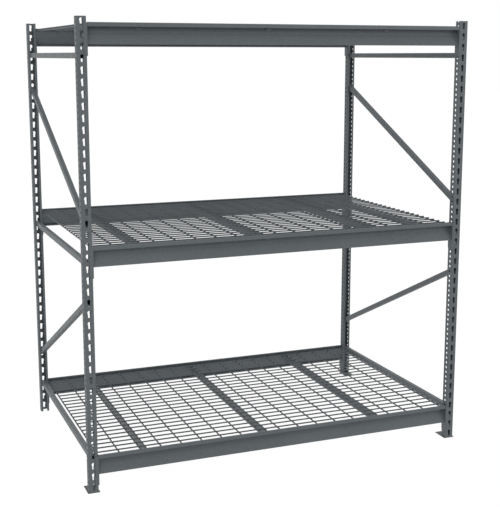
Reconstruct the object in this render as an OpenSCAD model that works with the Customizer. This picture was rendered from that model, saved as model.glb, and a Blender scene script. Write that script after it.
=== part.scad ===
// Boltless steel shelving bay: two welded upright frames, three pairs of step
// beams whose end connectors hook into keyhole slots, channel deck supports and
// wire decks.
// Millimetres. X runs along the beams, Y from front to back, Z up. The origin
// is on the floor at the middle of the bay.

/* [Bay] */
// Height of the uprights
rack_h = 2133.6; // [1900:50.8:2540]
// Depth over the faces of the front and rear posts
rack_d = 1219.2; // [914.4:50.8:1524]
// Clear distance between the left and right upright frames
clear_w = 1844; // [1844:1:1844]

/* [Shelf levels] */
// Top edge of the bottom pair of beams
level_bottom = 177.8; // [177.8:50.8:330.2]
// Top edge of the middle pair of beams
level_middle = 1143; // [990.6:50.8:1295.4]
// Distance from the top of the posts down to the top pair of beams
level_drop = 25.4; // [25.4:50.8:127]

/* [Posts] */
// Width of a post across its slotted web
post_w = 44.5; // [40:0.5:50]
// Depth of a post over its flanges
post_d = 38.1; // [34:0.5:45]
// Thickness of the post steel
post_t = 2; // [1.5:0.1:2.5]
// Outer radius of the bends of a post
post_r = 3; // [2.6:0.1:4]

/* [Keyhole slots and flange holes] */
// Spacing of the keyhole slots
slot_pitch = 50.8; // [50.8:50.8:50.8]
// Steel left above the first slot
slot_margin = 7.4; // [6:0.1:9]
// Overall height of a slot
slot_h = 32.3; // [31:0.1:34]
// Diameter of the wide upper end of a slot
slot_wide = 15.5; // [15:0.1:16]
// Diameter of the narrow lower end of a slot
slot_neck = 11; // [10.6:0.1:11.6]
// Spacing of the round holes in the flanges, the first one cut by the top edge
hole_pitch = 25.4; // [25.4:25.4:50.8]
// Diameter of the round holes
hole_d = 12.5; // [8:0.5:13]
// Middle of the round holes behind the outer face of the web
hole_setback = 15.5; // [14:0.5:16]

/* [Braces] */
// Height of a brace tube
brace_h = 25.4; // [20:0.1:30]
// Width of a brace tube, which is also the opening between the post lips
brace_w = 21.5; // [19:0.5:23]
// Wall of a brace tube
brace_t = 1.5; // [1:0.1:2.5]
// Underside of the top brace below the top of the posts
brace_top_drop = 177.8; // [170:0.1:190]
// Underside of the middle brace
brace_mid_z = 1054.1; // [1020:0.1:1075]
// Underside of the bottom brace
brace_bottom_z = 150; // [140:1:160]
// Centre of the upper diagonal at the front post
upper_diag_front = 1253.5; // [1220:0.5:1300]
// Centre of the upper diagonal at the rear post
upper_diag_rear = 1778; // [1700:1:1850]
// Centre of the lower diagonal at the front post
lower_diag_front = 882.5; // [850:0.5:920]
// Centre of the lower diagonal at the rear post
lower_diag_rear = 352; // [320:1:420]

/* [Foot plates] */
// Width of a foot plate
foot_w = 56; // [50:1:70]
// Length of a foot plate from front to back
foot_d = 91; // [70:1:110]
// Thickness of a foot plate
foot_t = 3; // [2:0.5:5]

/* [Step beams] */
// Height of a beam
beam_h = 93; // [85:0.1:95]
// Thickness of the beam steel
beam_t = 2; // [1.5:0.1:2.5]
// Height of the raised outer lip over the step
lip_h = 18; // [16:0.5:20]
// Depth of the step that carries the deck
step_d = 34; // [30:0.5:36]
// Width of the fold along the top of the lip
hem_w = 8; // [6:0.5:9]
// Spacing of the places for deck supports along a beam
beam_pitch = 152.4; // [152.4:0.1:152.4]

/* [End connectors] */
// Height of an end connector
conn_h = 139.7; // [138:0.1:141]
// Thickness of an end connector and of its hooks
conn_t = 3; // [2.5:0.1:3.2]
// Running gap between a connector and its post
conn_gap = 0.3; // [0.2:0.05:0.4]

/* [Wire decks] */
// Diameter of the deck wires
wire_d = 6.8; // [5:0.1:7]
// Spacing of the wires that run from front to back
long_pitch = 101; // [100:0.1:101.6]
// Spacing of the wires that run along the beams
cross_pitch = 50.25; // [49.5:0.05:50.8]
// How far the loose decks lie left of the middle of the bay
deck_left = 5.9; // [0:0.1:6]
// How far the loose decks lie in front of the middle of the bay
deck_front = 5; // [0:0.5:5]
// Width of a deck support channel
support_w = 9; // [8:0.5:14]
// Height of a deck support channel
support_h = 44; // [36:0.5:48]
// Thickness of the support steel
support_t = 2; // [1.5:0.1:2.5]

/* [Hidden] */

// Posts and frames
post_x = clear_w / 2 + post_w / 2;
level_top = rack_h - level_drop;
slot_count = floor((rack_h - slot_margin - slot_h) / slot_pitch) + 1;
hole_count = ceil((rack_h - hole_d) / hole_pitch);
// Braces stop short of the webs, clear of the hooks
brace_stop = 12;
foot_front = 2.5;

// Beams: the face leans outward below a short upright stretch
step_z = lip_h - beam_t;
knee_u = step_d - 6;
knee_z = 44;
toe_u = 5;
toe_flange = 14;
toe_upturn = 6;
support_places = floor(clear_w / beam_pitch);

// Connectors: the front leg stops beside the slots, with hooks in two of them
conn_drop = 2.5;
leg_w = 14;
conn_chamfer = 10;
hook_slots = [1, 2];
// Nearest side of a hook to the middle of its slot, and the hook's width
hook_side = 1;
hook_x = -conn_gap - post_w / 2 + hook_side;
hook_w = 3.2;
hook_h = 14;
hook_catch = 7;
// Depth of the neck's lower edge under the outer side of a hook
neck_seat = slot_h - slot_neck / 2 + sqrt(pow(slot_neck / 2, 2) - pow(hook_side + hook_w, 2));

// Decks: the wires along the beams lie on the wires from front to back
wire_gap = 0.05;
deck_w = 18 * long_pitch;
long_count = deck_w / long_pitch + 1;
cross_count = 23;
long_end = 14;
cross_over = 3;
deck_z = -step_z + wire_gap + wire_d / 2;
support_top = step_z - wire_d - wire_gap;
support_slots = [1, 5, 9];
// Tongue plate at each end of a support, bent down in front of the beam's face
tongue_w = 24;
tongue_t = 2;
tongue_drop = 3.5;
tongue_h = 11;
tongue_gap = 0.3;
tongue_front = knee_u + 0.8;
// Length of the plate welded across the channel, behind the beam
tongue_back = 18;

steel = [0.42, 0.45, 0.46];
steel_dark = [0.36, 0.39, 0.40];
steel_light = [0.50, 0.53, 0.54];
wire_grey = [0.46, 0.49, 0.50];

// ---- Helpers -------------------------------------------------------------

// Right-hand or rear copies mirror the left front one
module side(right) { mirror([right ? 1 : 0, 0, 0]) children(); }
module face(rear) { mirror([0, rear ? 1 : 0, 0]) children(); }

// Rounded rectangle on its own centre line in X, starting at Y = 0
module rounded_box(w, d, r) {
  translate([-w / 2 + r, 0]) square([w - 2 * r, d]);
  translate([-w / 2, r]) square([w, d - 2 * r]);
  for (x = [-w / 2 + r, w / 2 - r])
    for (y = [r, d - r])
      translate([x, y]) circle(r = r, $fn = 24);
}

// Lipped channel, web at Y = 0
module post_section() {
  difference() {
    rounded_box(post_w, post_d, post_r);
    translate([0, post_t])
      rounded_box(post_w - 2 * post_t, post_d - 2 * post_t, post_r - post_t);
    translate([-brace_w / 2, post_d / 2]) square([brace_w, post_d]);
  }
}

// Keyhole slot with its upper end at Z = 0: wide above, narrow below
module slot_outline() {
  rw = slot_wide / 2;
  rn = slot_neck / 2;
  zn = slot_h - rw - rn;
  // The tapered part starts and ends a little inside the two round ends
  wide = rw * 0.88;
  narrow = rn * 0.88;
  translate([0, -rw]) {
    circle(r = rw, $fn = 32);
    translate([0, -zn]) circle(r = rn, $fn = 32);
    polygon([[-wide, 0], [wide, 0], [narrow, -zn], [-narrow, -zn]]);
  }
}

// ---- Upright frames ------------------------------------------------------

// Post at the front left, from height z0 to the top
module post(z0) {
  translate([-post_x, -rack_d / 2, 0])
    difference() {
      translate([0, 0, z0]) linear_extrude(rack_h - z0) post_section();
      translate([0, post_t * 1.5, 0])
        rotate([90, 0, 0])
          linear_extrude(post_t * 2)
            for (k = [0 : slot_count - 1])
              translate([0, rack_h - slot_margin - k * slot_pitch])
                slot_outline();
      // Round holes in both flanges
      for (k = [0 : hole_count - 1])
        for (s = [-1, 1])
          translate([s * (post_w - post_t) / 2 - post_t, hole_setback,
                     rack_h - k * hole_pitch])
            rotate([0, 90, 0]) cylinder(d = hole_d, h = post_t * 2, $fn = 20);
    }
}

module post_front(right) {
  color(steel) side(right) post(foot_t);
}

// Only the right one of the rear posts stands on a foot plate
module post_rear(right) {
  color(steel) side(right) face(true) post(right ? foot_t : 0);
}

module foot(right, rear) {
  color(steel_dark)
    side(right) face(rear)
      translate([-post_x - foot_w / 2, -rack_d / 2 - foot_front, 0])
        cube([foot_w, foot_d, foot_t]);
}

// Tube between the front and rear posts. z_front and z_rear are the heights
// of its centre line at the inner edges of the two posts
module brace(right, z_front, z_rear) {
  run = rack_d - 2 * post_d;
  slope = (z_rear - z_front) / run;
  half = rack_d / 2 - brace_stop;
  mid = (z_front + z_rear) / 2;
  tall = brace_h / 2 * sqrt(1 + slope * slope);
  hollow = tall - brace_t * sqrt(1 + slope * slope);
  color(steel_light)
    side(right)
      translate([-post_x - brace_w / 2, 0, 0])
        difference() {
          brace_body(brace_w, half, slope, mid, tall);
          translate([brace_t, 0, 0])
            brace_body(brace_w - 2 * brace_t, half + 1, slope, mid, hollow);
        }
}

module brace_body(w, half, slope, mid, tall) {
  rotate([90, 0, 90])
    linear_extrude(w)
      polygon([
        [-half, mid - half * slope - tall],
        [half, mid + half * slope - tall],
        [half, mid + half * slope + tall],
        [-half, mid - half * slope + tall],
      ]);
}

module brace_top(right) {
  z = rack_h - brace_top_drop + brace_h / 2;
  brace(right, z, z);
}

module brace_upper_diagonal(right) {
  brace(right, upper_diag_front, upper_diag_rear);
}

module brace_middle(right) {
  brace(right, brace_mid_z + brace_h / 2, brace_mid_z + brace_h / 2);
}

module brace_lower_diagonal(right) {
  brace(right, lower_diag_front, lower_diag_rear);
}

module brace_bottom(right) {
  brace(right, brace_bottom_z + brace_h / 2, brace_bottom_z + brace_h / 2);
}

// ---- Step beams ----------------------------------------------------------

// Rolled section: distance in from the front plane, height from the top edge
module beam_section() {
  t = beam_t;
  polygon([
    [0, 0],
    [hem_w, 0],
    [hem_w, -6],
    [hem_w - t, -6],
    [hem_w - t, -t],
    [t, -t],
    [t, -step_z],
    [step_d + t, -step_z],
    [step_d + t, -lip_h - t],
    [knee_u + t, -knee_z],
    [toe_u + t, -beam_h + t],
    [toe_u + toe_flange - t, -beam_h + t],
    [toe_u + toe_flange - t, -beam_h + toe_upturn],
    [toe_u + toe_flange, -beam_h + toe_upturn],
    [toe_u + toe_flange, -beam_h],
    [toe_u, -beam_h],
    [knee_u, -knee_z],
    [step_d, -lip_h],
    [0, -lip_h],
  ]);
}

module beam(z, rear) {
  half = clear_w / 2 - conn_gap - conn_t;
  color(steel)
    face(rear)
      translate([0, -rack_d / 2, z])
        difference() {
          translate([-half, 0, 0])
            rotate([90, 0, 90]) linear_extrude(2 * half) beam_section();
          // Slots for the tongues of the deck supports, just below the step
          for (k = support_slots)
            translate([slot_x(k) - tongue_w / 2 - tongue_gap, knee_u,
                       -step_z - tongue_drop - tongue_t - tongue_gap])
              cube([tongue_w + 2 * tongue_gap, 12, tongue_t + 2 * tongue_gap]);
        }
}

function slot_x(k) = (k - (support_places - 1) / 2) * beam_pitch;

// Angle at the left end of a front beam, its top just below the beam's edge
module connector(z, rear, right) {
  inner = -clear_w / 2 + conn_gap;
  color(steel_light)
    side(right) face(rear)
      translate([inner, -rack_d / 2, z - conn_drop]) {
        // Leg along the inner flange, which the beam is welded to
        rotate([90, 0, 90]) linear_extrude(conn_t) side_leg_outline();
        // Leg in front of the web
        translate([0, -conn_gap, 0])
          rotate([90, 0, 0]) linear_extrude(conn_t) front_leg_outline();
        for (k = hook_slots)
          translate([hook_x, 0, hook_z(k)]) hook();
      }
}

// Underside of the hook in slot k, from the top of a connector
function hook_z(k) =
  level_drop + conn_drop - slot_margin - k * slot_pitch - neck_seat + conn_gap;

// Shank through the web, with a catch behind it that reaches below the slot
module hook() {
  back = post_t + conn_gap;
  translate([0, -conn_gap - conn_t, 0])
    cube([hook_w, back + conn_gap + 2 * conn_t, hook_h]);
  translate([0, back, -hook_catch])
    cube([hook_w, conn_t, hook_h + hook_catch]);
}

module side_leg_outline() {
  y0 = -conn_gap - conn_t;
  y1 = post_d - post_r;
  polygon([
    [y0, 0],
    [y1, 0],
    [y1, -conn_h + conn_chamfer],
    [y1 - conn_chamfer, -conn_h],
    [y0, -conn_h],
  ]);
}

// The leg has a lug at each hook
module front_leg_outline() {
  x0 = -conn_gap - leg_w;
  polygon([
    [x0, -4],
    [x0 + 4, 0],
    [conn_t, 0],
    [conn_t, -conn_h],
    [x0 + conn_chamfer, -conn_h],
    [x0, -conn_h + conn_chamfer],
  ]);
  for (k = hook_slots)
    translate([hook_x, hook_z(k)]) square([x0 - hook_x + 1, hook_h]);
}

// ---- Decks ---------------------------------------------------------------

// Narrow channel on edge, open below, with a plate welded across each end whose
// tongue goes through the beam's face
module support(z, k) {
  half = rack_d / 2 - step_d - beam_t - 0.5;
  x = slot_x(support_slots[k]);
  tongue_z = support_top - step_z - tongue_drop;
  color(steel_dark)
    translate([x, 0, z - support_top]) {
      difference() {
        translate([-support_w / 2, -half, -support_h])
          cube([support_w, 2 * half, support_h]);
        translate([-support_w / 2 + support_t, -half + support_t, -support_h - 1])
          cube([support_w - 2 * support_t, 2 * (half - support_t),
                support_h - support_t + 1]);
      }
      for (rear = [false, true])
        face(rear) translate([-tongue_w / 2, -rack_d / 2, tongue_z]) tongue();
    }
}

// Tongue in from the front plane: its top at Z = 0, its bent end hanging down
module tongue() {
  translate([0, tongue_front, -tongue_t])
    cube([tongue_w, step_d + beam_t + tongue_back - tongue_front, tongue_t]);
  translate([0, tongue_front, -tongue_h])
    cube([tongue_w, tongue_t, tongue_h]);
}

// Wires from front to back, lying on the steps of the beams
module long_wires(z) {
  color(wire_grey)
    for (k = [0 : long_count - 1])
      translate([(k - (long_count - 1) / 2) * long_pitch - deck_left,
                 -rack_d / 2 + long_end - deck_front, z + deck_z])
        rotate([-90, 0, 0]) cylinder(d = wire_d, h = rack_d - 2 * long_end, $fn = 16);
}

// Wires along the beams, welded on top
module cross_wires(z) {
  color(wire_grey)
    for (k = [0 : cross_count - 1])
      translate([-deck_w / 2 - cross_over - deck_left,
                 (k - (cross_count - 1) / 2) * cross_pitch - deck_front,
                 z + deck_z + wire_d + wire_gap])
        rotate([0, 90, 0]) cylinder(d = wire_d, h = deck_w + 2 * cross_over, $fn = 16);
}

// ---- Nodes ---------------------------------------------------------------

post_front(false);  // post_front_left
post_front(true);  // post_front_right
post_rear(false);  // post_rear_left
post_rear(true);  // post_rear_right
foot(false, false);  // foot_front_left
foot(true, false);  // foot_front_right
foot(true, true);  // foot_rear_right
brace_top(false);  // brace_top_left
brace_upper_diagonal(false);  // brace_upper_diagonal_left
brace_middle(false);  // brace_middle_left
brace_lower_diagonal(false);  // brace_lower_diagonal_left
brace_bottom(false);  // brace_bottom_left
brace_top(true);  // brace_top_right
brace_upper_diagonal(true);  // brace_upper_diagonal_right
brace_middle(true);  // brace_middle_right
brace_lower_diagonal(true);  // brace_lower_diagonal_right
brace_bottom(true);  // brace_bottom_right
beam(level_bottom, false);  // beam_bottom_front
beam(level_bottom, true);  // beam_bottom_rear
beam(level_middle, false);  // beam_middle_front
beam(level_middle, true);  // beam_middle_rear
beam(level_top, false);  // beam_top_front
beam(level_top, true);  // beam_top_rear
connector(level_bottom, false, false);  // connector_bottom_front_left
connector(level_bottom, false, true);  // connector_bottom_front_right
connector(level_bottom, true, false);  // connector_bottom_rear_left
connector(level_bottom, true, true);  // connector_bottom_rear_right
connector(level_middle, false, false);  // connector_middle_front_left
connector(level_middle, false, true);  // connector_middle_front_right
connector(level_middle, true, false);  // connector_middle_rear_left
connector(level_middle, true, true);  // connector_middle_rear_right
connector(level_top, false, false);  // connector_top_front_left
connector(level_top, false, true);  // connector_top_front_right
connector(level_top, true, false);  // connector_top_rear_left
connector(level_top, true, true);  // connector_top_rear_right
support(level_bottom, 0);  // support_bottom_left
support(level_bottom, 1);  // support_bottom_centre
support(level_bottom, 2);  // support_bottom_right
support(level_middle, 0);  // support_middle_left
support(level_middle, 1);  // support_middle_centre
support(level_middle, 2);  // support_middle_right
support(level_top, 0);  // support_top_left
support(level_top, 1);  // support_top_centre
support(level_top, 2);  // support_top_right
long_wires(level_bottom);  // long_wires_bottom
long_wires(level_middle);  // long_wires_middle
long_wires(level_top);  // long_wires_top
cross_wires(level_bottom);  // cross_wires_bottom
cross_wires(level_middle);  // cross_wires_middle
cross_wires(level_top);  // cross_wires_top
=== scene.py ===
import math
import random

import bmesh
import bpy
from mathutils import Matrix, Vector


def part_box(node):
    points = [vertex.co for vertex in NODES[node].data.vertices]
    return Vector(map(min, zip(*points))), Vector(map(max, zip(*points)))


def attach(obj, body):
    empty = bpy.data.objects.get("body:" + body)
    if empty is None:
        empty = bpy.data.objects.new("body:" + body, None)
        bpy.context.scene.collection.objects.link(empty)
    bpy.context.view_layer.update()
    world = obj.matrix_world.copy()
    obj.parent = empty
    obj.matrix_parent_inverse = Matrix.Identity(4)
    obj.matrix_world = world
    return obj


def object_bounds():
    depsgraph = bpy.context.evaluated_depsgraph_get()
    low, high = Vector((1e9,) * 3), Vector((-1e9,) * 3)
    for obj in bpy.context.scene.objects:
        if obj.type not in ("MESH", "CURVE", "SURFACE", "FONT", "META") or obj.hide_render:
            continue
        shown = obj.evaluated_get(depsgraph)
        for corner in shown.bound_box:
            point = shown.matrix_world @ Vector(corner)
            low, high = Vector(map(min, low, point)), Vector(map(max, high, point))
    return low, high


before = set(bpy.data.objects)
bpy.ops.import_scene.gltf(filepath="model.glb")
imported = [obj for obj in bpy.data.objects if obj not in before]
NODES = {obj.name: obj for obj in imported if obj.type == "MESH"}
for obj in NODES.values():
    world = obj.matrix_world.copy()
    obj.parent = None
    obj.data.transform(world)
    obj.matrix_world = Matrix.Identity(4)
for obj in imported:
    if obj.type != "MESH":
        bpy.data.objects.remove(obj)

CAD_LO, CAD_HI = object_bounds()
SCENE = bpy.context.scene
SIDES = ("left", "right")
LEVELS = ("bottom", "middle", "top")
rng = random.Random(4711)


# ---- Camera --------------------------------------------------------------------

# Metres, radians and millimetres of lens; pitch is up from the horizontal
CAMERA_PLACE = (-1.9206, -4.9671, 1.9692)
CAMERA_YAW = 0.37633
CAMERA_PITCH = -0.17888
CAMERA_LENS = 72.855
CAMERA_SHIFT = (0.00826, -0.02493)
CAMERA_CLIP = (0.05, 200.0)


def make_camera():
    cam = bpy.data.cameras.new("camera")
    cam.sensor_fit = "AUTO"
    cam.sensor_width = 36.0
    cam.lens = CAMERA_LENS
    cam.shift_x, cam.shift_y = CAMERA_SHIFT
    cam.clip_start, cam.clip_end = CAMERA_CLIP
    obj = bpy.data.objects.new("camera", cam)
    SCENE.collection.objects.link(obj)
    obj.location = CAMERA_PLACE
    obj.rotation_euler = (math.pi / 2 + CAMERA_PITCH, 0.0, -CAMERA_YAW)
    SCENE.camera = obj


make_camera()


# ---- Node helpers --------------------------------------------------------------

class Tree:
    """A small wrapper that adds nodes to a node tree and links them."""

    def __init__(self, tree):
        self.tree = tree
        self.tree.nodes.clear()

    def add(self, kind, inputs=None, **props):
        """Add a node, with its inputs set or linked by name or number."""
        node = self.tree.nodes.new(kind)
        for key, value in props.items():
            setattr(node, key, value)
        for key, value in (inputs or {}).items():
            if isinstance(value, bpy.types.NodeSocket):
                self.tree.links.new(value, node.inputs[key])
            else:
                node.inputs[key].default_value = value
        return node

    def math(self, operation, *values):
        return self.add("ShaderNodeMath", dict(enumerate(values)), operation=operation).outputs[0]

    def remap(self, value, old, new):
        """Map the range old to the range new, and clamp."""
        inputs = dict(enumerate((value, *old, *new)))
        return self.add("ShaderNodeMapRange", inputs).outputs[0]

    def mix(self, share, first, second):
        """Blend two colours: sockets 6, 7 and 2 are the colour ones."""
        inputs = {0: share, 6: (*first, 1.0), 7: (*second, 1.0)}
        return self.add("ShaderNodeMix", inputs, data_type="RGBA").outputs[2]

    def noise(self, vector, scale, detail=2.0):
        inputs = {"Vector": vector, "Scale": scale, "Detail": detail, "Roughness": 0.5}
        return self.add("ShaderNodeTexNoise", inputs).outputs["Fac"]

    def finish(self, kind, shader):
        """Add the output node of that kind, fed by the shader."""
        self.add(kind, {0: shader.outputs[0]})


# ---- World, floor and lights ---------------------------------------------------

# A white studio all round, brightest above the front left and dimmer to the
# sides, overhead, from the floor and straight in front
STUDIO = 0.9
SOFTBOX = 0.9
SIDE_DIP = 0.6
FRONT_DIP = 0.2
CEILING_DIP = 0.3
WHITE = (1, 1, 1, 1)

FLOOR_HALF = 40.0
FLOOR_DROP = 0.0006
FLOOR_GREY = (0.12, 0.12, 0.12, 1)
FLOOR_GLOW = 0.95

# Place, size and watts of the two soft lights, aimed at the middle of the rack
KEY = ((-3.2, -4.6, 4.2), 3.0, 40)
FILL = ((4.5, -4.0, 2.6), 3.0, 30)


def studio_lobes():
    """Azimuth (0 is the front, 90 the right), elevation, sharpness, strength."""
    yield -35, 45, 10, SOFTBOX
    yield 0, 10, 3, -FRONT_DIP
    for azimuth in (-75, 75):
        yield azimuth, 15, 3, -SIDE_DIP
    for elevation in (-90, 90):
        yield 0, elevation, 2, -CEILING_DIP


def lobe_direction(azimuth, elevation):
    a, e = math.radians(azimuth), math.radians(elevation)
    return (math.sin(a) * math.cos(e), -math.cos(a) * math.cos(e), math.sin(e))


def make_world():
    """Studio light from the lobes; the camera itself sees plain white."""
    world = bpy.data.worlds.new("studio")
    SCENE.world = world
    world.use_nodes = True
    t = Tree(world.node_tree)
    gen = t.add("ShaderNodeTexCoord").outputs["Generated"]
    total = STUDIO
    for azimuth, elevation, sharp, strength in studio_lobes():
        inputs = {0: gen, 1: lobe_direction(azimuth, elevation)}
        dot = t.add("ShaderNodeVectorMath", inputs, operation="DOT_PRODUCT").outputs["Value"]
        lobe = t.math("POWER", t.math("MAXIMUM", dot, 0.0), sharp)
        total = t.math("MULTIPLY_ADD", lobe, strength, total)
    total = t.math("MAXIMUM", total, 0.0)
    env = t.add("ShaderNodeBackground", {"Color": WHITE, "Strength": total})
    plain = t.add("ShaderNodeBackground", {"Color": WHITE, "Strength": 1.0})
    path = t.add("ShaderNodeLightPath")
    inputs = {0: path.outputs["Is Camera Ray"], 1: env.outputs[0], 2: plain.outputs[0]}
    t.finish("ShaderNodeOutputWorld", t.add("ShaderNodeMixShader", inputs))


def make_floor():
    bm = bmesh.new()
    corners = ((-1, -1), (1, -1), (1, 1), (-1, 1))
    bm.faces.new([bm.verts.new((x * FLOOR_HALF, y * FLOOR_HALF, 0.0)) for x, y in corners])
    me = bpy.data.meshes.new("floor")
    bm.to_mesh(me)
    bm.free()
    obj = bpy.data.objects.new("floor", me)
    SCENE.collection.objects.link(obj)
    obj.location.z = -FLOOR_DROP
    mat = bpy.data.materials.new("floor")
    mat.use_nodes = True
    t = Tree(mat.node_tree)
    t.finish("ShaderNodeOutputMaterial", t.add("ShaderNodeBsdfPrincipled", {
        "Base Color": FLOOR_GREY, "Roughness": 0.9, "Specular IOR Level": 0.0,
        "Emission Color": WHITE, "Emission Strength": FLOOR_GLOW}))
    me.materials.append(mat)
    obj.visible_diffuse = False
    obj.visible_glossy = False


def area_light(name, place, size, watts):
    light = bpy.data.lights.new(name, "AREA")
    light.shape = "RECTANGLE"
    light.size = light.size_y = size
    light.energy = watts
    obj = bpy.data.objects.new(name, light)
    SCENE.collection.objects.link(obj)
    obj.location = place
    look = (CAD_LO + CAD_HI) / 2 - Vector(place)
    obj.rotation_mode = "QUATERNION"
    obj.rotation_quaternion = look.to_track_quat("-Z", "Y")


make_world()
make_floor()
area_light("key", *KEY)
area_light("fill", *FILL)
SCENE.view_settings.view_transform = "Standard"


# ---- Materials -----------------------------------------------------------------

# Linear colour of the powder coat
GREY = (0.125, 0.143, 0.154)
# Noise scales per metre, and the middle part of a noise's range that is used
DRIFT_SCALE, MOTTLE_SCALE, GLOSS_SCALE, PEEL_SCALE = 2.3, 85.0, 34.0, 620.0
NOISE_RANGE = (0.3, 0.7)
MOTTLE_RANGE = (0.93, 1.07)
GLOSS_SPREAD = 0.05
PEEL_DEPTH = 0.0004


def tone(factor):
    """The grey of the coat, darker by the factor."""
    return tuple(c * factor for c in GREY)


def paint(name, base, spread=0.06, rough=0.46, peel=0.12):
    """Powder coat: slight tint drift, mottling, orange peel and uneven gloss."""
    mat = bpy.data.materials.new(name)
    mat.use_nodes = True
    t = Tree(mat.node_tree)
    place = t.add("ShaderNodeTexCoord").outputs["Object"]
    drift = t.remap(t.noise(place, DRIFT_SCALE), NOISE_RANGE, (0.0, 1.0))
    dark = tuple(c * (1 - spread) for c in base)
    light = tuple(c * (1 + spread) for c in base)
    tint = t.mix(drift, dark, light)
    mottle = t.remap(t.noise(place, MOTTLE_SCALE, 3.0), NOISE_RANGE, MOTTLE_RANGE)
    mottled = t.add("ShaderNodeHueSaturation", {"Value": mottle, "Color": tint})
    gloss_range = (rough - GLOSS_SPREAD, rough + GLOSS_SPREAD)
    gloss = t.remap(t.noise(place, GLOSS_SCALE), NOISE_RANGE, gloss_range)
    fine = t.noise(place, PEEL_SCALE, 1.0)
    bump = t.add("ShaderNodeBump", {"Strength": peel, "Distance": PEEL_DEPTH, "Height": fine})
    t.finish("ShaderNodeOutputMaterial", t.add("ShaderNodeBsdfPrincipled", {
        "Base Color": mottled.outputs[0], "Roughness": gloss, "Normal": bump.outputs[0],
        "Specular IOR Level": 0.5}))
    return mat


MATS = {
    "frame_paint": paint("powder_coat_frame", GREY),
    "beam_paint": paint("powder_coat_beam", tone(0.98)),
    "deck_paint": paint("powder_coat_deck", tone(0.94)),
}
WIRE = paint("powder_coat_wire", tone(0.84), rough=0.5)
WELD = paint("powder_coat_weld", tone(0.96), spread=0.10, rough=0.52, peel=0.3)


def material_for(name, slot):
    """Wires and weld beads have their own coat; the rest goes by slot."""
    if "wires" in name:
        return WIRE
    return WELD if name.startswith("weld") else MATS[slot]


for name, obj in NODES.items():
    old = obj.data.materials[0].name
    slot = next(key for key in MATS if old.startswith(key))
    obj.data.materials[0] = material_for(name, slot)


# ---- Rounded edges of the CAD pieces -------------------------------------------

# Width of the rounding by kind of piece; posts have their bends already
EDGES = {"beam": 0.0007, "brace": 0.0012, "foot": 0.0007, "connector": 0.0007, "support": 0.0007}


def soften(obj, width):
    """Join the split faces, then round the edges of the sheet a little."""
    weld = obj.modifiers.new("weld", "WELD")
    weld.merge_threshold = 0.00001
    bevel = obj.modifiers.new("bevel", "BEVEL")
    bevel.width = width
    bevel.segments = 2
    bevel.limit_method = "ANGLE"
    bevel.angle_limit = math.radians(40)
    bevel.harden_normals = False
    shade = obj.modifiers.new("normals", "WEIGHTED_NORMAL")
    shade.keep_sharp = True


for name, obj in NODES.items():
    kind = name.split("_")[0]
    if kind in EDGES:
        soften(obj, EDGES[kind])


# ---- Welds and pressings -------------------------------------------------------

# Weld beads: radius, spacing of the ripples, sides round, and how far a bead
# sits off the plane it lies on
BRACE_BEAD = 0.0019
BEAD = 0.0021
RIPPLE_PITCH = 0.0032
BEAD_SIDES = 8
BEAD_LIFT = 0.0002
POST_BEND = 0.003

# Section of a beam: outer lip, depth of the step, the knee under it, the toe
LIP = 0.018
STEP = 0.034
KNEE_IN, KNEE_DOWN = 0.028, 0.044
TOE = 0.005

# Places for deck supports along a beam, and the pad pressed at an empty one
PLACES = 12
PLACE_PITCH = 0.1524
PAD_SIZE = (0.026, 0.009)
PAD_HEIGHT = 0.0011
PAD_DROP = 0.0265
PAD_SINK = 0.0003
PAD_ROWS, PAD_COLUMNS = 10, 6

# Wires of a deck, and a weld nugget's outline as height and radius
LONG_WIRES, CROSS_WIRES = 19, 23
NUGGET = ((-0.0015, 0.0012), (-0.0006, 0.0026), (0.0006, 0.0027), (0.0015, 0.0012))
NUGGET_SIDES = 7


def new_piece(name, bm, body, slot):
    bmesh.ops.recalc_face_normals(bm, faces=bm.faces)
    me = bpy.data.meshes.new(name)
    bm.to_mesh(me)
    bm.free()
    for poly in me.polygons:
        poly.use_smooth = True
    me.materials.append(material_for(name, slot))
    obj = bpy.data.objects.new(name, me)
    SCENE.collection.objects.link(obj)
    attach(obj, body)


def resample(points, step):
    """Points along a line of straight runs, about a step apart."""
    out = []
    for a, b in zip(points, points[1:]):
        n = max(1, round((b - a).length / step))
        out += [a.lerp(b, i / n) for i in range(n)]
    return out + [points[-1]]


def turns(sides):
    """Angles round a full turn."""
    return [math.tau * k / sides for k in range(sides)]


def close_rings(bm, rings):
    """Skin a row of rings and cap both ends."""
    n = len(rings[0])
    for ra, rb in zip(rings, rings[1:]):
        for k in range(n):
            bm.faces.new((ra[k], ra[(k + 1) % n], rb[(k + 1) % n], rb[k]))
    bm.faces.new(rings[0])
    bm.faces.new(rings[-1])


def bead(bm, points, radius):
    """A rippled weld bead along a line, closed and thinned out at both ends."""
    pts = resample([Vector(q) for q in points], RIPPLE_PITCH / 2.5)
    phase = rng.uniform(0, math.pi)
    rings = []
    run = 0.0
    total = sum((b - a).length for a, b in zip(pts, pts[1:]))
    for i, q in enumerate(pts):
        if i:
            run += (q - pts[i - 1]).length
        along = (pts[min(i + 1, len(pts) - 1)] - pts[max(i - 1, 0)]).normalized()
        side = along.orthogonal().normalized()
        up = along.cross(side)
        end = min(1.0, 0.45 + min(run, total - run) / (radius * 1.6))
        ripple = 0.86 + 0.14 * abs(math.cos(math.pi * run / RIPPLE_PITCH + phase))
        r = radius * end * ripple * rng.uniform(0.95, 1.05)
        rings.append([bm.verts.new(q + r * (math.cos(t) * side + math.sin(t) * up))
                      for t in turns(BEAD_SIDES)])
    close_rings(bm, rings)


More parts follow.
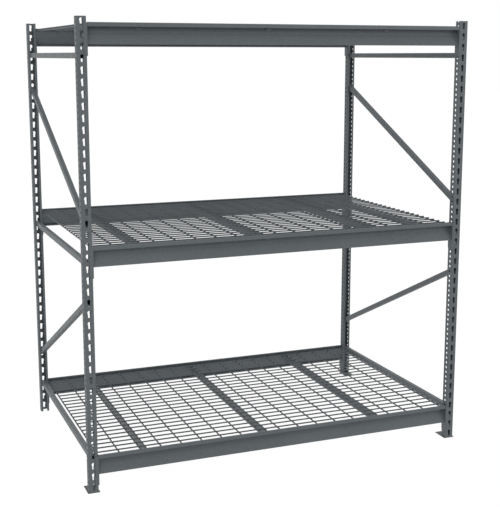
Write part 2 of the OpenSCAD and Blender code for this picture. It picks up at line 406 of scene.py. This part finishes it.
def brace_heights(name, y):
    """Lower and upper edge of a brace where it crosses a plane of constant Y."""
    verts = [v.co for v in NODES[name].data.vertices]
    y0, y1 = min(v.y for v in verts), max(v.y for v in verts)
    ends = []
    for end in (y0, y1):
        zs = [v.z for v in verts if abs(v.y - end) < 0.0008]
        ends.append((min(zs), max(zs)))
    f = (y - y0) / (y1 - y0)
    return tuple(a + (b - a) * f for a, b in zip(*ends))


def frame_welds(side):
    """Beads where each brace tube meets the lips of the two posts."""
    bm = bmesh.new()
    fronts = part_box(f"post_front_{side}")
    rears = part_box(f"post_rear_{side}")
    for name in NODES:
        if not (name.startswith("brace_") and name.endswith(side)):
            continue
        lo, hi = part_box(name)
        for y, sign in ((fronts[1].y, 1), (rears[0].y, -1)):
            low, high = brace_heights(name, y)
            off = y + sign * BEAD_LIFT
            for x in (lo.x, hi.x):
                bead(bm, [(x, off, low + 0.001), (x, off, high - 0.001)], BRACE_BEAD)
    new_piece(f"weld_braces_{side}", bm, "uprights", "frame_paint")


def foot_welds():
    """Beads round the outside of each post on its foot plate."""
    bm = bmesh.new()
    for name in NODES:
        if not name.startswith("foot_"):
            continue
        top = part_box(name)[1].z
        lo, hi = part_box("post_" + name[5:])
        web, lip = (lo.y, hi.y) if "front" in name else (hi.y, lo.y)
        r = math.copysign(POST_BEND, lip - web)
        z = top + BEAD_LIFT
        bead(bm, [(lo.x, lip - r, z), (lo.x, web + r, z), (lo.x + abs(r), web, z),
                  (hi.x - abs(r), web, z), (hi.x, web + r, z), (hi.x, lip - r, z)], BEAD)
    new_piece("weld_feet", bm, "uprights", "frame_paint")


def beam_outline(name):
    """Outer face of a beam: distance in from its front plane and height."""
    lo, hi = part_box(name)
    return [(0.0, hi.z - 0.004), (0.0, hi.z - LIP), (STEP, hi.z - LIP),
            (KNEE_IN, hi.z - KNEE_DOWN), (TOE, lo.z)]


def beam_point(name, x, u, z):
    """The point at a distance in from a beam's outer plane."""
    lo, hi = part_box(name)
    return (x, lo.y + u, z) if name.endswith("front") else (x, hi.y - u, z)


def shelf_welds(level):
    """Beads round the beam ends on their connectors."""
    bm = bmesh.new()
    for face in ("front", "rear"):
        name = f"beam_{level}_{face}"
        lo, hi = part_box(name)
        for x in (lo.x, hi.x):
            bead(bm, [beam_point(name, x, u, z) for u, z in beam_outline(name)], BEAD)
    new_piece(f"weld_beams_{level}", bm, f"shelf_{level}", "beam_paint")


def pad(bm, centre, across, down, out):
    """A low pressed pad with rounded edges, a little sunk into the sheet."""
    n, m = PAD_ROWS, PAD_COLUMNS
    tops = []
    for i in range(n + 1):
        row = []
        for j in range(m + 1):
            s, t = 2 * i / n - 1, 2 * j / m - 1
            rise = (1 - s ** 4) * (1 - t ** 4)
            row.append(bm.verts.new(
                centre + across * (s * PAD_SIZE[0] / 2) + down * (t * PAD_SIZE[1] / 2)
                + out * (PAD_HEIGHT * rise - PAD_SINK)))
        tops.append(row)
    for i in range(n):
        for j in range(m):
            bm.faces.new((tops[i][j], tops[i + 1][j], tops[i + 1][j + 1], tops[i][j + 1]))
    rim = [tops[i][0] for i in range(n + 1)] + [tops[n][j] for j in range(1, m + 1)]
    rim += [tops[i][m] for i in range(n - 1, -1, -1)] + [tops[0][j] for j in range(m - 1, 0, -1)]
    bm.faces.new(rim)


def beam_pads(level):
    """Pads at the places for deck supports that hold none."""
    bm = bmesh.new()
    across = Vector((1, 0, 0))
    used = [sum(c.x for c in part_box(f"support_{level}_{place}")) / 2
            for place in ("left", "centre", "right")]
    # The sheet between the step and the knee leans by this much per metre down
    lean = (STEP - KNEE_IN) / (KNEE_DOWN - LIP)
    u = STEP - lean * (PAD_DROP - LIP)
    for face in ("front", "rear"):
        name = f"beam_{level}_{face}"
        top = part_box(name)[1].z
        inward = 1 if face == "front" else -1
        down = Vector((0, -inward * lean, -1)).normalized()
        out = Vector((0, -inward, lean)).normalized()
        for k in range(PLACES):
            x = (k - (PLACES - 1) / 2) * PLACE_PITCH
            if min(abs(x - q) for q in used) < 0.02:
                continue
            centre = Vector(beam_point(name, x, u, top - PAD_DROP))
            pad(bm, centre, across, down, out)
    new_piece(f"pressings_{level}", bm, f"shelf_{level}", "beam_paint")


def spread_between(start, end, wire, count):
    """Middles of evenly spaced wires whose outer sides are start and end."""
    return [start + wire / 2 + (end - start - wire) * k / (count - 1) for k in range(count)]


def deck_welds(level):
    """Resistance-weld nuggets at the wire crossings, one closed lump each."""
    bm = bmesh.new()
    long_lo, long_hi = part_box(f"long_wires_{level}")
    cross_lo, cross_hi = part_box(f"cross_wires_{level}")
    wire = long_hi.z - long_lo.z
    z = (long_hi.z + cross_lo.z) / 2
    for x in spread_between(long_lo.x, long_hi.x, wire, LONG_WIRES):
        for y in spread_between(cross_lo.y, cross_hi.y, wire, CROSS_WIRES):
            spin = rng.uniform(0, math.tau)
            grow = rng.uniform(0.85, 1.15)
            rings = []
            for height, radius in NUGGET:
                ring = []
                for t in turns(NUGGET_SIDES):
                    r = grow * radius * (1 + 0.12 * math.sin(3 * t + spin))
                    place = (x + r * math.cos(t), y + r * math.sin(t), z + height)
                    ring.append(bm.verts.new(place))
                rings.append(ring)
            close_rings(bm, rings)
    new_piece(f"weld_wires_{level}", bm, f"deck_{level}", "deck_paint")


for side in SIDES:
    frame_welds(side)
foot_welds()
for level in LEVELS:
    shelf_welds(level)
    beam_pads(level)
    deck_welds(level)
